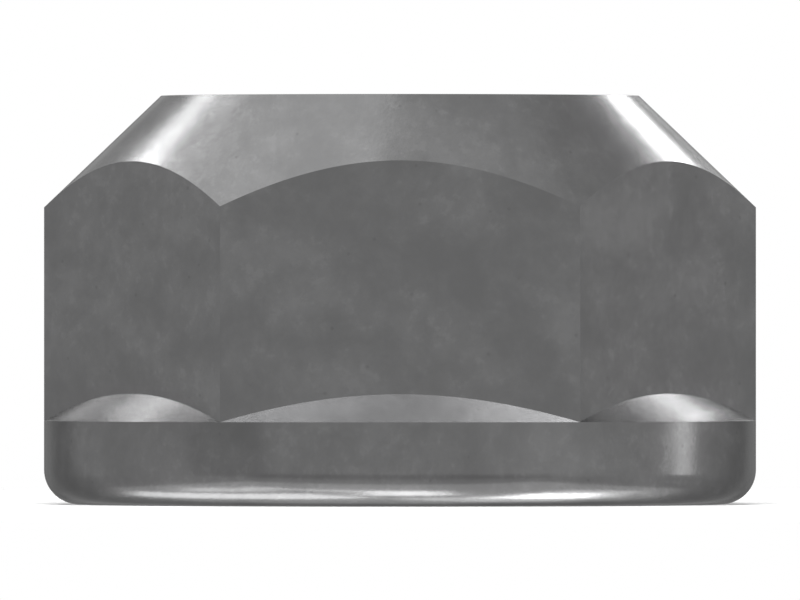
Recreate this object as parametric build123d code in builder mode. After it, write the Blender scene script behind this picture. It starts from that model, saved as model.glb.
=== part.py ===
"""Hexagon lock nut with a tapered top and a round collar, forged and machined in one piece.

Millimetres and degrees. The origin is the centre of the bearing face, on the thread's axis.
+Z runs up the thread towards the tapered top, and two corners of the hexagon point along X.
"""

import os
from math import cos, radians, tan

from build123d import *

# Driving sizes
across_flats = 24.0  # spanner size of the hexagon
nut_height = 15.9  # bearing face to the top rim
thread_diameter = 16.0  # nominal, coarse thread
thread_pitch = 2.0
top_wall = 1.3  # metal left round the thread at the top rim
taper_slope = 43.65  # of the tapered top, up from the horizontal
collar_height = 3.25  # of the collar's straight rim, with its rounded edge
collar_slope = 30.0  # of the collar's top, up from the horizontal
collar_edge_radius = 1.35  # round between the rim and the bearing face
countersink_angle = 120.0
seat_countersink_margin = 0.5  # how far each countersink reaches past the thread, on the radius
top_countersink_margin = 0.3

# Sizes that follow
hexagon_sides = 6
corner_radius = across_flats / 2 / cos(radians(180 / hexagon_sides))  # the collar is as wide
thread_radius = thread_diameter / 2
bore_radius = (thread_diameter - thread_pitch) / 2  # tapping hole, the crests of the thread
top_rim_radius = thread_radius + top_wall


def rise(run, slope):
    """Height gained over a horizontal run by a face of this slope."""
    return run * tan(radians(slope))


with BuildPart() as lock_nut:
    # Hexagon bar, from the edge of the collar up
    with BuildSketch(Plane.XY.offset(collar_height)):
        RegularPolygon(across_flats / 2, hexagon_sides, major_radius=False)
    extrude(amount=nut_height - collar_height)

    # Tapered top: a cone turned over the corners leaves an arc on each flat
    taper_base_radius = top_rim_radius + (nut_height - collar_height) / rise(1, taper_slope)
    with BuildSketch(Plane.XZ) as inside_the_taper:
        with BuildLine():
            Polyline(
                (0, collar_height),
                (taper_base_radius, collar_height),
                (top_rim_radius, nut_height),
                (0, nut_height),
                close=True,
            )
        make_face()
    revolve(axis=Axis.Z, mode=Mode.INTERSECT)

    # Collar: a straight rim under a low cone that runs in beneath the flats
    crown_height = collar_height + rise(corner_radius - thread_radius, collar_slope)
    with BuildSketch(Plane.XZ) as half_collar:
        with BuildLine():
            Polyline(
                (0, 0),
                (corner_radius, 0),
                (corner_radius, collar_height),
                (thread_radius, crown_height),
                (0, crown_height),
                close=True,
            )
        make_face()
    revolve(axis=Axis.Z)
    bearing_edge = lock_nut.edges().filter_by(GeomType.CIRCLE).group_by(Axis.Z)[0]
    fillet(bearing_edge, radius=collar_edge_radius)

    # Tapped hole, countersunk at both ends
    with Locations(Plane.XY.offset(nut_height)):
        CounterSinkHole(
            bore_radius,
            thread_radius + top_countersink_margin,
            counter_sink_angle=countersink_angle,
        )
    with Locations(-Plane.XY):
        CounterSinkHole(
            bore_radius,
            thread_radius + seat_countersink_margin,
            counter_sink_angle=countersink_angle,
        )

lock_nut.part.label = "lock_nut"

os.makedirs("parts", exist_ok=True)
export_step(lock_nut.part, "parts/lock_nut.step")
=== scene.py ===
"""Hexagon lock nut with a tapered top, a round collar and a real thread, in a small studio.

Laid out as an add-on and run as a script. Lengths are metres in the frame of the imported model: +Z runs
up the thread, the bearing face lies on z = 0, and two corners of the hexagon point along X.
"""
from math import atan, ceil, cos, pi, radians, sin, sqrt, tan

import bpy
from bpy.props import FloatProperty, FloatVectorProperty, PointerProperty
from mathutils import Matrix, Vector


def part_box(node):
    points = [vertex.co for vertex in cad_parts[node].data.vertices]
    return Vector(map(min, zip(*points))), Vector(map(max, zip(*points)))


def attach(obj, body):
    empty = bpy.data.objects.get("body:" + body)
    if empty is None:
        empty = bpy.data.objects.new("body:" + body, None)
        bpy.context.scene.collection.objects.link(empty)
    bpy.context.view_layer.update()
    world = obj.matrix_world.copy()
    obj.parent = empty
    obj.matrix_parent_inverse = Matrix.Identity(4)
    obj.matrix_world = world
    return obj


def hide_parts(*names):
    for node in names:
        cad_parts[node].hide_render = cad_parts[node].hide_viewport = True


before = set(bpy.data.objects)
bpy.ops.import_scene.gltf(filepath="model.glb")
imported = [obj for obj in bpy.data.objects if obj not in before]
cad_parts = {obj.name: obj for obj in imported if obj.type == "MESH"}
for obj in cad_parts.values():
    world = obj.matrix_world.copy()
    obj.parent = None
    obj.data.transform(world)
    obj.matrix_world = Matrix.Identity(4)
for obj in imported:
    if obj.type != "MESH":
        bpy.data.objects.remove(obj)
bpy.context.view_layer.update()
nut_low, nut_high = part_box("lock_nut")

bl_info = {
    "name": "Tapered Lock Nut",
    "version": (1, 0, 0),
    "blender": (4, 5, 0),
    "location": "View3D > Sidebar > Lock Nut",
    "description": "Builds a hexagon lock nut with a tapered top, a collar and a thread, in a small studio",
    "category": "Add Mesh",
}

MM = 0.001
SIDES = 6
SECTOR = 2 * pi / SIDES

# How finely the rounds are drawn, and the most of a side that a round may take
EDGE_STEPS = 3
COLLAR_STEPS = 16
MOST_OF_A_SIDE = 0.45

# The thread's form: the slope of its flanks from a radius, and the width of its groove's flat root and the
# radius that rounds it, as shares of the pitch
FLANK_ANGLE = radians(30.0)
ROOT_FLAT = 1 / 8
ROOT_ROUND = 0.078

# How many pitches below the bearing face the tap starts, its turns beyond those of the nut, how far its core
# lies inside the bore in pitches, and the share of a step that keeps its edges off the nut's
TAP_LEAD = 2
TAP_SPARE_TURNS = 3
TAP_CORE_DEPTH = 0.1
TAP_TURN = 0.37

# Where two faces meet more sharply than this, their edge stays crisp
SHARP_ANGLE = radians(25.0)

# Noise values between which the finish changes: its clouds, the pale ones among them, the wisps in those and
# the polish. A pit fades out between two distances from its middle, as shares of the pits' spacing.
CLOUD_RANGE = (0.32, 0.74)
PALE_RANGE = (0.42, 0.64)
WISP_RANGE = (0.5, 0.74)
POLISH_RANGE = (0.3, 0.74)
PIT_RANGE = (0.03, 0.11)

# How many wisps and how many grains of grit go to the width of a cloud
WISPS_TO_A_CLOUD = 7.0
GRAINS_TO_A_CLOUD = 16.0

# Watts for each square metre of a lamp that looks as bright as white
WHITE_LAMP = 4


# Settings

class NutSizes(bpy.types.PropertyGroup):
    """Sizes of the nut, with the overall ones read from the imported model."""

    height: FloatProperty(
        name="Height", description="Bearing face to the top rim",
        default=nut_high.z - nut_low.z, min=0.001, unit="LENGTH",
    )
    corner_radius: FloatProperty(
        name="Corner radius", description="Axis to a corner of the hexagon, and to the collar's rim",
        default=nut_high.x, min=0.001, unit="LENGTH",
    )
    top_rim_radius: FloatProperty(
        name="Top rim radius", description="Outer radius of the flat ring at the top",
        default=9.3 * MM, min=0.001, unit="LENGTH",
    )
    taper_slope: FloatProperty(
        name="Taper slope", description="Slope of the tapered top, up from the horizontal",
        default=radians(43.65), subtype="ANGLE",
    )
    collar_height: FloatProperty(
        name="Collar height", description="Bearing face to the upper edge of the collar's rim",
        default=3.25 * MM, min=0.0, unit="LENGTH",
    )
    collar_slope: FloatProperty(
        name="Collar slope", description="Slope of the collar's top, up from the horizontal",
        default=radians(30.0), subtype="ANGLE",
    )
    collar_round: FloatProperty(
        name="Collar round", description="Radius between the collar's rim and the bearing face",
        default=1.35 * MM, min=0.0, unit="LENGTH",
    )
    edge_round: FloatProperty(
        name="Edge round", description="Radius on the edges of the top ring and of the seat's countersink",
        default=0.03 * MM, min=0.0, unit="LENGTH",
    )
    corner_round: FloatProperty(
        name="Corner round", description="Radius that breaks the six upright corners",
        default=0.01 * MM, min=0.0, unit="LENGTH",
    )
    thread_radius: FloatProperty(
        name="Thread radius", description="Half the thread's nominal diameter",
        default=8.0 * MM, min=0.001, unit="LENGTH",
    )
    thread_pitch: FloatProperty(
        name="Thread pitch", description="Rise of the thread in one turn",
        default=2.0 * MM, min=0.0001, unit="LENGTH",
    )
    countersink_slope: FloatProperty(
        name="Countersink slope", description="Slope of both countersinks, from the horizontal",
        default=radians(30.0), subtype="ANGLE",
    )
    seat_countersink: FloatProperty(
        name="Seat countersink", description="Radius of the countersink in the bearing face",
        default=8.5 * MM, min=0.0, unit="LENGTH",
    )
    top_countersink: FloatProperty(
        name="Top countersink", description="Radius of the countersink in the top ring",
        default=8.3 * MM, min=0.0, unit="LENGTH",
    )


class SteelLook(bpy.types.PropertyGroup):
    """Colour and polish of the dark satin steel."""

    base: FloatVectorProperty(
        name="Steel", description="Colour of the steel between its light and dark clouds",
        subtype="COLOR", size=3, min=0.0, max=1.0, default=(0.137, 0.137, 0.138),
    )
    cloud_contrast: FloatProperty(
        name="Cloud contrast", description="How far the clouds go to either side of the steel's colour",
        default=0.12, min=0.0, max=1.0, subtype="FACTOR",
    )
    roughness: FloatProperty(
        name="Roughness", description="Mean roughness of the finish",
        default=0.2, min=0.0, max=1.0, subtype="FACTOR",
    )
    cloud_size: FloatProperty(
        name="Cloud size", description="Width of the largest clouds in the finish",
        default=3.3 * MM, min=0.0001, unit="LENGTH",
    )
    cloud_shift: FloatVectorProperty(
        name="Cloud shift", description="Moves the clouds through the metal, to choose another pattern",
        subtype="TRANSLATION", unit="LENGTH", size=3, default=(0.062, 0.015, 0.054),
    )
    face_shift: FloatProperty(
        name="Face shift", description="How far the clouds move outwards on a face, to change at each corner",
        default=3.0 * MM, min=0.0, unit="LENGTH",
    )
    cloud_squeeze: FloatVectorProperty(
        name="Cloud squeeze", description="Less than one draws the clouds out along that axis",
        subtype="XYZ", size=3, min=0.1, default=(1.0, 0.6, 1.0),
    )
    wisp_strength: FloatProperty(
        name="Wisp strength", description="How far the wisps lighten the pale clouds",
        default=0.33, min=0.0, max=1.0, subtype="FACTOR",
    )
    roughness_change: FloatProperty(
        name="Roughness change", description="How far the clouds take the roughness off its mean",
        default=0.012, min=0.0, max=1.0, subtype="FACTOR",
    )
    glancing_tint: FloatProperty(
        name="Glancing tint", description="Brightness of the steel where it is seen almost edge on",
        default=0.42, min=0.0, max=1.0, subtype="FACTOR",
    )
    grit_depth: FloatProperty(
        name="Grit depth", description="Height of the fine grit that softens the highlights",
        default=0.0028 * MM, min=0.0, unit="LENGTH",
    )
    pit_spacing: FloatProperty(
        name="Pit spacing", description="Mean distance between the places where a tiny dark pit may lie",
        default=0.9 * MM, min=0.0001, unit="LENGTH",
    )
    pit_gaps: FloatProperty(
        name="Pit gaps", description="Share of those places that have no pit",
        default=0.35, min=0.0, max=1.0, subtype="FACTOR",
    )
    pit_strength: FloatProperty(
        name="Pit strength", description="How dark the middle of a pit is",
        default=0.16, min=0.0, max=1.0, subtype="FACTOR",
    )
    pit_colour: FloatVectorProperty(
        name="Pit", description="Colour of the dirt in the pits",
        subtype="COLOR", size=3, min=0.0, max=1.0, default=(0.02, 0.02, 0.02),
    )


class StudioSettings(bpy.types.PropertyGroup):
    """Camera, floor and light level."""

    camera_distance: FloatProperty(
        name="Camera distance", description="Camera to the nut's axis, far enough for an almost flat view",
        default=1.05, min=0.1, unit="LENGTH",
    )
    camera_height: FloatProperty(
        name="Camera height", description="Height of the level camera above the floor",
        default=7.95 * MM, unit="LENGTH",
    )
    view_width: FloatProperty(
        name="View width", description="Width of the picture, measured at the nut's axis",
        default=31.14 * MM, min=0.001, unit="LENGTH",
    )
    floor_size: FloatProperty(
        name="Floor size", description="Side of the square floor",
        default=0.16, min=0.05, unit="LENGTH",
    )
    floor_colour: FloatVectorProperty(
        name="Floor", description="Pale colour of the floor",
        subtype="COLOR", size=3, min=0.0, max=1.0, default=(0.85, 0.85, 0.85),
    )
    floor_glow: FloatProperty(
        name="Floor glow", description="Light that the floor seems to give off, to bring it up to white",
        default=0.18, min=0.0, max=1.0, subtype="FACTOR",
    )
    ambient: FloatProperty(
        name="Ambient light", description="Strength of the white surroundings as a light",
        default=0.45, min=0.0, max=2.0,
    )
    lamp_distance: FloatProperty(
        name="Lamp distance", description="Nut to each lamp",
        default=0.6, min=0.1, unit="LENGTH",
    )


# Form of the nut

def rounded(before, corner, after, radius, steps):
    """Points along the arc that rounds a corner, smaller where a side beside it is too short."""
    back, ahead = before - corner, after - corner
    half_angle = back.angle(ahead) / 2
    setback = min(radius / tan(half_angle), MOST_OF_A_SIDE * back.length, MOST_OF_A_SIDE * ahead.length)
    start = corner + back.normalized() * setback
    end = corner + ahead.normalized() * setback
    centre = corner + (back.normalized() + ahead.normalized()).normalized() * (setback / cos(half_angle))
    spoke, last_spoke = start - centre, end - centre
    return [centre + spoke.slerp(last_spoke, step / steps) * spoke.length for step in range(steps + 1)]


class Hexagon:
    """Plan of the hexagon, with its upright corners just rounded. A corner lies at each whole sector."""

    def __init__(self, corner_radius, corner_round):
        self.apothem = corner_radius * cos(SECTOR / 2)
        self.corner_round = corner_round
        self.round_centre = (self.apothem - corner_round) / cos(SECTOR / 2)
        self.round_end = SECTOR / 2 - atan(self.round_centre * sin(SECTOR / 2) / self.apothem)

    def from_corner(self, bearing):
        """Angle from the nearest corner."""
        return abs((bearing + SECTOR / 2) % SECTOR - SECTOR / 2)

    def reach(self, bearing):
        """Distance from the axis to the side of the hexagon at this bearing."""
        turn = self.from_corner(bearing)
        if turn >= self.round_end:
            return self.apothem / cos(SECTOR / 2 - turn)
        aside = self.round_centre * sin(turn)
        return self.round_centre * cos(turn) + sqrt(self.corner_round ** 2 - aside ** 2)

    def bearings(self, steps_round, steps_flat):
        """Bearings all round, close together on each rounded corner and even across each flat."""
        flat = SECTOR - 2 * self.round_end
        found = []
        for side in range(SIDES):
            corner = side * SECTOR
            for step in range(-steps_round, steps_round):
                found.append(corner + self.round_end * step / steps_round)
            for step in range(steps_flat):
                found.append(corner + self.round_end + flat * step / steps_flat)
        return found


def section(sizes, reach):
    """Outline of the metal at one bearing, as points of radius and height. Its arcs and its rim stay crisp.

    Each corner has its radius, its height, the radius that rounds it and the steps in that round.
    """
    bore = bore_radius(sizes)
    top, rim = sizes.height, sizes.corner_radius
    seat_depth = (sizes.seat_countersink - bore) * tan(sizes.countersink_slope)
    top_depth = (sizes.top_countersink - bore) * tan(sizes.countersink_slope)
    flat_low = sizes.collar_height + (rim - reach) * tan(sizes.collar_slope)
    flat_high = top - (reach - sizes.top_rim_radius) * tan(sizes.taper_slope)
    edge = sizes.edge_round
    corners = (
        (bore, seat_depth, 0.0, 0),
        (sizes.seat_countersink, 0.0, edge, EDGE_STEPS),
        (rim, 0.0, sizes.collar_round, COLLAR_STEPS),
        (rim, sizes.collar_height, 0.0, 0),
        (reach, flat_low, 0.0, 0),
        (reach, flat_high, 0.0, 0),
        (sizes.top_rim_radius, top, edge, EDGE_STEPS),
        (sizes.top_countersink, top, edge, EDGE_STEPS),
        (bore, top - top_depth, 0.0, 0),
    )
    places = [Vector((radius, height)) for radius, height, *_ in corners]
    points = []
    for index, (_, _, radius, steps) in enumerate(corners):
        if steps:
            following = places[(index + 1) % len(places)]
            points += rounded(places[index - 1], places[index], following, radius, steps)
        else:
            points.append(places[index])
    return points


def bore_radius(sizes):
    """Radius of the tapping hole, on which the thread's crests lie."""
    return sizes.thread_radius - sizes.thread_pitch / 2


def ring_mesh(name, columns):
    """Closed mesh through upright outlines that stand round the axis, one for each bearing."""
    count, rows = len(columns), len(columns[0][1])
    vertices = [
        (point.x * cos(bearing), point.x * sin(bearing), point.y)
        for bearing, points in columns for point in points
    ]
    faces = []
    for column in range(count):
        here, there = column * rows, (column + 1) % count * rows
        for row in range(rows):
            above = (row + 1) % rows
            faces.append((here + row, there + row, there + above, here + above))
    mesh = bpy.data.meshes.new(name)
    mesh.from_pydata(vertices, [], faces)
    return mesh


def make_blank(sizes):
    """The nut before its thread is cut: hexagon, taper, collar, countersinks and a plain tapping hole."""
    plan = Hexagon(sizes.corner_radius, sizes.corner_round)
    bearings = plan.bearings(steps_round=4, steps_flat=44)
    columns = [(bearing, section(sizes, plan.reach(bearing))) for bearing in bearings]
    return ring_mesh("lock_nut_body", columns)


def groove_profile(sizes, core_radius, steps=6):
    """One turn of the thread's groove, as points of height and radius: flank, round root and flank."""
    sharp_radius = sizes.thread_radius + sizes.thread_pitch * ROOT_FLAT / 2 / tan(FLANK_ANGLE)
    root_round = ROOT_ROUND * sizes.thread_pitch
    root_centre = sharp_radius - root_round / sin(FLANK_ANGLE)
    root = []
    for step in range(steps + 1):
        turn = (step / steps * 2 - 1) * (pi / 2 - FLANK_ANGLE)
        root.append((root_round * sin(turn), root_centre + root_round * cos(turn)))
    half_width = (sharp_radius - core_radius) * tan(FLANK_ANGLE)
    return [(-half_width, core_radius), *root, (half_width, core_radius)]


def make_tap(sizes, steps_round=180):
    """A right-handed tap a little longer than the nut, to cut the thread with."""
    pitch = sizes.thread_pitch
    profile = groove_profile(sizes, core_radius=bore_radius(sizes) - TAP_CORE_DEPTH * pitch)
    turns = ceil(sizes.height / pitch) + TAP_SPARE_TURNS
    start = -TAP_LEAD * pitch
    vertices = []
    for column in range(steps_round):
        share = (column + TAP_TURN) / steps_round
        for turn in range(turns):
            for rise, radius in profile:
                height = start + (turn + share) * pitch + rise
                vertices.append((radius * cos(2 * pi * share), radius * sin(2 * pi * share), height))
    one_turn = len(profile)
    rows = turns * one_turn
    faces = []
    for column in range(steps_round - 1):
        here, there = column * rows, (column + 1) * rows
        faces += [(here + row, there + row, there + row + 1, here + row + 1) for row in range(rows - 1)]
    last = (steps_round - 1) * rows
    for row in range(rows - one_turn - 1):
        faces.append((last + row, row + one_turn, row + one_turn + 1, last + row + 1))
    seam_low = list(range(one_turn, 0, -1))
    seam_high = [last + row for row in range(rows - one_turn - 1, rows - 1)]
    low_end = [column * rows for column in range(steps_round)] + seam_low
    high_end = [column * rows + rows - 1 for column in range(steps_round)] + seam_high[::-1]
    low_tip, high_tip = start - pitch, start + (turns + 2) * pitch
    for loop, height, flip in ((low_end, low_tip, True), (high_end, high_tip, False)):
        centre = len(vertices)
        vertices.append((0.0, 0.0, height))
        for index, corner in enumerate(loop):
            following = loop[(index + 1) % len(loop)]
            faces.append((centre, following, corner) if flip else (centre, corner, following))
    mesh = bpy.data.meshes.new("tap")
    mesh.from_pydata(vertices, [], faces)
    return mesh


def with_modifiers(piece):
    """Mesh of the piece with its modifiers carried out."""
    bpy.context.view_layer.update()
    graph = bpy.context.evaluated_depsgraph_get()
    finished = piece.evaluated_get(graph)
    return bpy.data.meshes.new_from_object(finished, preserve_all_data_layers=True, depsgraph=graph)


def add_object(name, data):
    """New object in the scene's own collection."""
    made = bpy.data.objects.new(name, data)
    bpy.context.scene.collection.objects.link(made)
    return made


# Steel

class Nodes:
    """Short way to add and join the nodes of one material."""

    def __init__(self, tree):
        self.tree = tree
        tree.nodes.clear()

    def add(self, kind, settings=None, **inputs):
        """Adds a node, sets its own settings, and gives each named input a value or a link."""
        node = self.tree.nodes.new(kind)
        for name, value in (settings or {}).items():
            setattr(node, name, value)
        for name, value in inputs.items():
            self.join(node, name.replace("_", " "), value)
        return node

    def join(self, node, name, value):
        """Gives one input, by its name or its number, a value or a link."""
        socket = node.inputs[name]
        if isinstance(value, bpy.types.NodeSocket):
            self.tree.links.new(value, socket)
        else:
            socket.default_value = value

    def combine(self, kind, settings, *values):
        """Adds a node and gives its first inputs these values or links, in their order."""
        node = self.add(kind, settings)
        for index, value in enumerate(values):
            self.join(node, index, value)
        return node.outputs[0]

    def calculate(self, operation, *values):
        """Result of one sum or comparison."""
        return self.combine("ShaderNodeMath", {"operation": operation}, *values)

    def ramp(self, value, span, low=0.0, high=1.0, curve="SMOOTHSTEP"):
        """Runs from low to high while the value crosses the span, and stays level on both sides of it."""
        return self.add(
            "ShaderNodeMapRange", {"interpolation_type": curve},
            Value=value, From_Min=span[0], From_Max=span[1], To_Min=low, To_Max=high,
        ).outputs[0]

    def blend_colours(self, share, first, second):
        """The first colour where the share is nought, and the second where it is one."""
        node = self.add("ShaderNodeMix", {"data_type": "RGBA"})
        share_input, first_input, second_input, colour_output = 0, 6, 7, 2
        self.join(node, share_input, share)
        self.join(node, first_input, first)
        self.join(node, second_input, second)
        return node.outputs[colour_output]


def metal_place(nodes, look):
    """Where a point of the metal lies in the pattern of the finish, which changes at each upright corner."""
    metal = nodes.add("ShaderNodeTexCoord").outputs
    shift = (look.face_shift, look.face_shift, 0.0)
    moved = nodes.combine(
        "ShaderNodeVectorMath", {"operation": "MULTIPLY_ADD"}, metal["Normal"], shift, metal["Object"],
    )
    return nodes.add(
        "ShaderNodeMapping", Vector=moved, Location=look.cloud_shift, Scale=look.cloud_squeeze,
    ).outputs["Vector"]


def noise(nodes, place, **settings):
    """Cloudy noise, mostly between a quarter and three quarters."""
    return nodes.add("ShaderNodeTexNoise", Vector=place, **settings).outputs["Fac"]


def clouded_noise(nodes, place, look):
    """Noise of the smoky clouds, raised by fine wisps in the pale ones."""
    clouds = noise(nodes, place, Scale=1.0 / look.cloud_size, Detail=8.0, Roughness=0.68, Distortion=0.15)
    grain = noise(nodes, place, Scale=WISPS_TO_A_CLOUD / look.cloud_size, Detail=5.0, Roughness=0.65)
    wisps = nodes.ramp(grain, WISP_RANGE)
    pale = nodes.ramp(clouds, PALE_RANGE, high=look.wisp_strength)
    return nodes.calculate("MULTIPLY_ADD", wisps, pale, clouds)


def pits(nodes, place, look):
    """How much of a tiny dark pit there is at each point."""
    cells = nodes.add("ShaderNodeTexVoronoi", Vector=place, Scale=1.0 / look.pit_spacing)
    pit = nodes.ramp(cells.outputs["Distance"], PIT_RANGE, low=look.pit_strength, high=0.0)
    draw = nodes.add("ShaderNodeSeparateColor", Color=cells.outputs["Color"]).outputs[0]
    chosen = nodes.calculate("GREATER_THAN", draw, look.pit_gaps)
    return nodes.calculate("MULTIPLY", pit, chosen)


def steel_material(look):
    """Dark satin steel with smoky clouds, a little fine grit and a few tiny pits."""
    material = bpy.data.materials.new("dark_satin_steel")
    material.use_nodes = True
    nodes = Nodes(material.node_tree)
    place = metal_place(nodes, look)
    clouds = clouded_noise(nodes, place, look)
    dark = [channel * (1 - look.cloud_contrast) for channel in look.base]
    light = [channel * (1 + look.cloud_contrast) for channel in look.base]
    clouded = nodes.blend_colours(nodes.ramp(clouds, CLOUD_RANGE), (*dark, 1.0), (*light, 1.0))
    colour = nodes.blend_colours(pits(nodes, place, look), clouded, (*look.pit_colour, 1.0))
    smoothest, dullest = look.roughness - look.roughness_change, look.roughness + look.roughness_change
    grit = noise(nodes, place, Scale=GRAINS_TO_A_CLOUD / look.cloud_size, Detail=2.0, Roughness=0.6)
    bump = nodes.add("ShaderNodeBump", Height=grit, Strength=1.0, Distance=look.grit_depth)
    steel = nodes.add(
        "ShaderNodeBsdfPrincipled",
        Base_Color=colour,
        Metallic=1.0,
        Roughness=nodes.ramp(clouds, POLISH_RANGE, low=smoothest, high=dullest, curve="LINEAR"),
        Specular_Tint=(look.glancing_tint, look.glancing_tint, look.glancing_tint, 1.0),
        Normal=bump.outputs[0],
    )
    nodes.add("ShaderNodeOutputMaterial", Surface=steel.outputs[0])
    return material


# Studio

def seen_directly(nodes):
    """One where the camera sees a surface, straight or by way of metal or glass, and nought for its light."""
    rays = nodes.add("ShaderNodeLightPath")
    glossy = nodes.calculate("MAXIMUM", rays.outputs["Is Camera Ray"], rays.outputs["Is Glossy Ray"])
    return nodes.calculate("MAXIMUM", glossy, rays.outputs["Is Transmission Ray"])


def floor_material(studio):
    """Pale matt floor that keeps its shadows. Its underside is clear, so that the nut shows from below."""
    material = bpy.data.materials.new("pale_floor")
    material.use_nodes = True
    nodes = Nodes(material.node_tree)
    glow = nodes.calculate("MULTIPLY", seen_directly(nodes), studio.floor_glow)
    matt = nodes.add("ShaderNodeBsdfDiffuse", Color=(*studio.floor_colour, 1.0)).outputs[0]
    light = nodes.add("ShaderNodeEmission", Strength=glow).outputs[0]
    upper = nodes.combine("ShaderNodeAddShader", {}, matt, light)
    underside = nodes.add("ShaderNodeNewGeometry").outputs["Backfacing"]
    clear = nodes.add("ShaderNodeBsdfTransparent").outputs[0]
    sides = nodes.combine("ShaderNodeMixShader", {}, underside, upper, clear)
    nodes.add("ShaderNodeOutputMaterial", Surface=sides)
    return material


def flat_mesh(name, half_width, half_length):
    """Flat rectangle round its own centre that faces up."""
    signs = ((-1, -1), (1, -1), (1, 1), (-1, 1))
    corners = [(across * half_width, along * half_length, 0) for across, along in signs]
    mesh = bpy.data.meshes.new(name)
    mesh.from_pydata(corners, [], [(0, 1, 2, 3)])
    return mesh


def make_floor(studio):
    """Flat floor at the bearing face. Metal sees the white surroundings and the light table through it."""
    floor = add_object("floor", flat_mesh("floor", studio.floor_size / 2, studio.floor_size / 2))
    floor.data.materials.append(floor_material(studio))
    floor.visible_glossy = False
    floor.visible_shadow = False


def make_surroundings(studio):
    """Plain white all round, as bright as white to the camera and in metal, and softer as a light."""
    world = bpy.data.worlds.new("white_surroundings")
    world.use_nodes = True
    nodes = Nodes(world.node_tree)
    level = nodes.ramp(seen_directly(nodes), (0.0, 1.0), low=studio.ambient, curve="LINEAR")
    background = nodes.add("ShaderNodeBackground", Color=(1.0, 1.0, 1.0, 1.0), Strength=level)
    nodes.add("ShaderNodeOutputWorld", Surface=background.outputs[0])
    bpy.context.scene.world = world


# Each lamp and card round the nut: its name, its bearing from straight behind the nut towards the right, its
# height above the horizon, how wide and how tall it looks from the nut, all in degrees, and its brightness
# beside white. The lamps give light, and the cards only show in the metal.
LAMPS = (
    ("key_softbox", 180.0, 54.5, 20.0, 20.0, 15.5),
    ("overhead_softbox", -61.0, 67.0, 46.0, 40.0, 1.0),
)
CARDS = (
    ("key_left_card", -161.5, 51.0, 7.0, 18.0, 9.5),
    ("key_left_tip_card", -156.5, 45.5, 9.0, 18.0, 22.0),
    ("key_right_card", 161.5, 51.0, 7.0, 18.0, 15.0),
    ("key_right_tip_card", 156.5, 45.5, 9.0, 18.0, 44.0),
    ("overhead_fill_card", 65.0, 77.0, 26.0, 30.0, 0.2),
    ("left_strip", -34.0, 34.3, 5.2, 20.0, 7.6),
    ("left_upper_glow", -41.0, 44.5, 10.0, 11.0, 1.15),
    ("left_lower_glow", -24.0, 25.0, 13.0, 13.0, 0.35),
    ("left_panel", -43.4, 33.3, 5.5, 11.0, 64.0),
    ("left_tip_panel", -52.0, 13.5, 7.0, 5.0, 7.0),
    ("left_low_panel", -48.5, 20.5, 6.0, 12.0, 38.0),
    ("left_side_card", -60.0, 2.0, 24.0, 24.0, 0.1),
    ("right_side_card", 60.0, -2.0, 24.0, 24.0, 0.05),
    ("front_right_card", 133.0, 0.0, 44.0, 30.0, 0.12),
    ("right_strip", 25.0, 26.7, 8.0, 10.0, 24.0),
    ("right_high_panel", 43.7, 35.0, 5.0, 5.5, 48.0),
    ("right_panel", 45.2, 27.2, 5.5, 9.4, 136.0),
    ("right_low_panel", 50.0, 17.5, 7.0, 9.0, 17.0),
    ("right_back_card", 9.0, 16.0, 7.0, 10.0, 0.7),
    ("side_strip", 75.5, 4.0, 8.0, 24.0, 1.5),
    ("side_strip_edge", 79.0, 4.0, 12.0, 24.0, 0.5),
)
# Cards close to the nut, as seen from the middle of the collar's cone below the flat on their side, and how
# far off they hang as a share of the lamps' distance. The cone shows them by way of that flat, and the taper
# looks past them.
CLOSE_SHARE = 0.042
CLOSE_CARDS = (
    ("left_close_card", -42.4, 48.5, 9.0, 17.0, 10.0),
    ("right_close_card", 42.4, 48.5, 9.0, 17.0, 6.0),
)
# Each card of the light table under the floor: its name, its place across, towards the back and up, its
# length and its width, all as shares of the lamps' distance, its turn in degrees and its brightness beside
# white
TABLE_CARDS = (
    ("table_panel", (-0.07, -0.1, -1.05), 3.0, 2.1, 0.0, 0.55),
    ("table_left_tube", (-0.58, 0.36, -1.0), 1.1, 0.4, -48.0, 3.0),
    ("table_right_panel", (0.5, 0.26, -1.02), 0.9, 0.6, -20.0, 1.6),
    ("table_right_tube", (0.47, 0.2, -0.99), 0.38, 0.36, -45.0, 7.0),
    ("table_middle_tube", (0.03, -0.26, -0.98), 0.3, 0.34, 0.0, 4.0),
    ("table_front_tube", (-0.45, -0.42, -0.97), 0.8, 0.1, 5.0, 2.0),
    ("table_left_panel", (-0.84, -0.14, -1.01), 0.6, 0.34, -48.0, 1.6),
)
# Each grey flag, laid out as the lamps and cards round the nut are. Only metal sees the flags, in place of
# the white surroundings behind them. Each hangs nearer than the one before, by this share of the lamps'
# distance.
FLAG_SPACING = 0.05
FLAGS = (
    ("front_low_flag", 180.0, -18.0, 100.0, 16.0, 0.75),
    ("left_rim_flag", -122.0, -2.0, 26.0, 22.0, 0.8),
    ("wide_back_flag", 0.0, -2.5, 42.0, 23.0, 0.6),
    ("back_flag", 0.0, -2.5, 26.0, 23.0, 0.3),
)


def aim(piece, distance, bearing, elevation, centre=Vector()):
    """Hangs a lamp or a flag in a direction from the nut, or from another centre, and faces it there."""
    bearing, elevation = radians(bearing), radians(elevation)
    direction = Vector((sin(bearing) * cos(elevation), cos(bearing) * cos(elevation), sin(elevation)))
    piece.location = centre + direction * distance
    piece.rotation_euler = direction.to_track_quat("Z", "Y").to_euler()


def seen_span(distance, angle):
    """Length that looks this many degrees long from the nut."""
    return 2 * distance * tan(radians(angle / 2))


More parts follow.
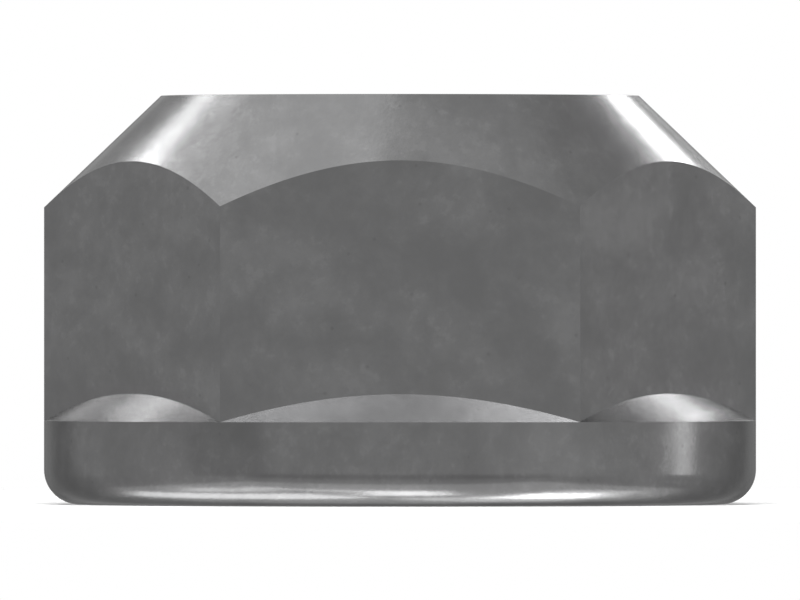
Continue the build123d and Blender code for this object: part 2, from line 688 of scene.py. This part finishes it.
def make_lamp(name, width, height, brightness):
    """Soft rectangular lamp that hides from the camera, with its brightness given beside white."""
    light = bpy.data.lights.new(name, "AREA")
    light.shape = "RECTANGLE"
    light.size, light.size_y = width, height
    light.energy = WHITE_LAMP * width * height * brightness
    lamp = add_object(name, light)
    lamp.visible_camera = False
    return lamp


def hang_lamp(distance, name, bearing, elevation, wide, tall, brightness, centre=Vector()):
    """Lamp or card that faces the nut, or another centre, from the given direction."""
    lamp = make_lamp(name, seen_span(distance, wide), seen_span(distance, tall), brightness)
    aim(lamp, distance, bearing, elevation, centre)
    return lamp


def hang_flag(distance, name, bearing, elevation, wide, tall, brightness):
    """Evenly grey card that only metal sees."""
    flag = add_object(name, flat_mesh(name, seen_span(distance, wide) / 2, seen_span(distance, tall) / 2))
    grey = bpy.data.materials.new(name)
    grey.use_nodes = True
    grey.cycles.emission_sampling = "NONE"
    nodes = Nodes(grey.node_tree)
    even = nodes.add("ShaderNodeEmission", Strength=brightness)
    nodes.add("ShaderNodeOutputMaterial", Surface=even.outputs[0])
    flag.data.materials.append(grey)
    flag.visible_camera = flag.visible_diffuse = flag.visible_transmission = flag.visible_shadow = False
    aim(flag, distance, bearing, elevation)


def lay_table_card(distance, name, place, length, width, turn, brightness):
    """Card under the floor that faces straight up."""
    card = make_lamp(name, length * distance, width * distance, brightness)
    card.location = Vector(place) * distance
    card.rotation_euler = (pi, 0.0, radians(turn))
    return card


def cone_centre(sizes, bearing):
    """Middle of what shows of the collar's cone below the slanted front flat on this side."""
    apothem = sizes.corner_radius * cos(SECTOR / 2)
    radius = (sizes.corner_radius + apothem) / 2
    across = radius * sin(SECTOR) * (1 if bearing > 0 else -1)
    height = sizes.collar_height + (sizes.corner_radius - radius) * tan(sizes.collar_slope)
    return Vector((across, -radius * cos(SECTOR), height))


def make_lamps(distance, sizes):
    """All the lamps, and the cards that light nothing matt."""
    for lamp in LAMPS:
        hang_lamp(distance, *lamp)
    cards = [hang_lamp(distance, *card) for card in CARDS]
    for card in CLOSE_CARDS:
        _, bearing, *_ = card
        cards.append(hang_lamp(CLOSE_SHARE * distance, *card, centre=cone_centre(sizes, bearing)))
    cards += [lay_table_card(distance, *card) for card in TABLE_CARDS]
    for card in cards:
        card.visible_diffuse = False


def make_flags(distance):
    """The grey flags, all farther off than the lamps."""
    for order, flag in enumerate(reversed(FLAGS), start=1):
        hang_flag(distance * (1 + FLAG_SPACING * order), *flag)


def make_camera(studio):
    """Level camera in front of one flat, with a long lens."""
    data = bpy.data.cameras.new("front_camera")
    data.lens = data.sensor_width * studio.camera_distance / studio.view_width
    data.clip_end = 100.0
    camera = add_object("front_camera", data)
    camera.location = (0.0, -studio.camera_distance, studio.camera_height)
    camera.rotation_euler = (pi / 2, 0.0, 0.0)
    bpy.context.scene.camera = camera


# Operators and panel

class LOCKNUT_OT_build_nut(bpy.types.Operator):
    """Build the nut with its thread cut and its steel on"""

    bl_idname = "lock_nut.build_nut"
    bl_label = "Build Nut"

    def execute(self, context):
        sizes = context.scene.nut_sizes
        nut = add_object("lock_nut_body", make_blank(sizes))
        tap = add_object("tap", make_tap(sizes))
        cut = nut.modifiers.new("thread", "BOOLEAN")
        cut.operation, cut.solver, cut.object = "DIFFERENCE", "EXACT", tap
        threaded = with_modifiers(nut)
        nut.modifiers.clear()
        nut.data = threaded
        bpy.data.objects.remove(tap)
        threaded.shade_smooth()
        threaded.set_sharp_from_angle(angle=SHARP_ANGLE)
        shading = nut.modifiers.new("even_shading", "WEIGHTED_NORMAL")
        shading.keep_sharp = True
        nut.data = with_modifiers(nut)
        nut.modifiers.clear()
        nut.data.name = nut.name
        nut.data.materials.clear()
        nut.data.materials.append(steel_material(context.scene.steel_look))
        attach(nut, "root")
        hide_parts("lock_nut")
        return {"FINISHED"}


class LOCKNUT_OT_set_stage(bpy.types.Operator):
    """Set up the floor, the surroundings, the lamps and the camera"""

    bl_idname = "lock_nut.set_stage"
    bl_label = "Set Stage"

    def execute(self, context):
        studio = context.scene.nut_studio
        make_floor(studio)
        make_surroundings(studio)
        make_lamps(studio.lamp_distance, context.scene.nut_sizes)
        make_flags(studio.lamp_distance)
        make_camera(studio)
        context.scene.view_settings.view_transform = "Standard"
        return {"FINISHED"}


class LOCKNUT_PT_sidebar(bpy.types.Panel):
    """Sizes, steel and studio of the lock nut"""

    bl_idname = "LOCKNUT_PT_sidebar"
    bl_label = "Lock Nut"
    bl_space_type = "VIEW_3D"
    bl_region_type = "UI"
    bl_category = "Lock Nut"

    def draw(self, context):
        scene = context.scene
        groups = (("Sizes", scene.nut_sizes), ("Steel", scene.steel_look), ("Studio", scene.nut_studio))
        for title, group in groups:
            box = self.layout.box()
            box.label(text=title)
            for name in group.__annotations__:
                box.prop(group, name)
        for operator in OPERATORS:
            self.layout.operator(operator.bl_idname)


OPERATORS = (LOCKNUT_OT_build_nut, LOCKNUT_OT_set_stage)
CLASSES = (NutSizes, SteelLook, StudioSettings, *OPERATORS, LOCKNUT_PT_sidebar)


def register():
    for cls in CLASSES:
        bpy.utils.register_class(cls)
    bpy.types.Scene.nut_sizes = PointerProperty(type=NutSizes)
    bpy.types.Scene.steel_look = PointerProperty(type=SteelLook)
    bpy.types.Scene.nut_studio = PointerProperty(type=StudioSettings)


def unregister():
    del bpy.types.Scene.nut_studio
    del bpy.types.Scene.steel_look
    del bpy.types.Scene.nut_sizes
    for cls in reversed(CLASSES):
        bpy.utils.unregister_class(cls)


def main():
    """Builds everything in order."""
    register()
    bpy.ops.lock_nut.build_nut()
    bpy.ops.lock_nut.set_stage()


if __name__ == "__main__":
    main()
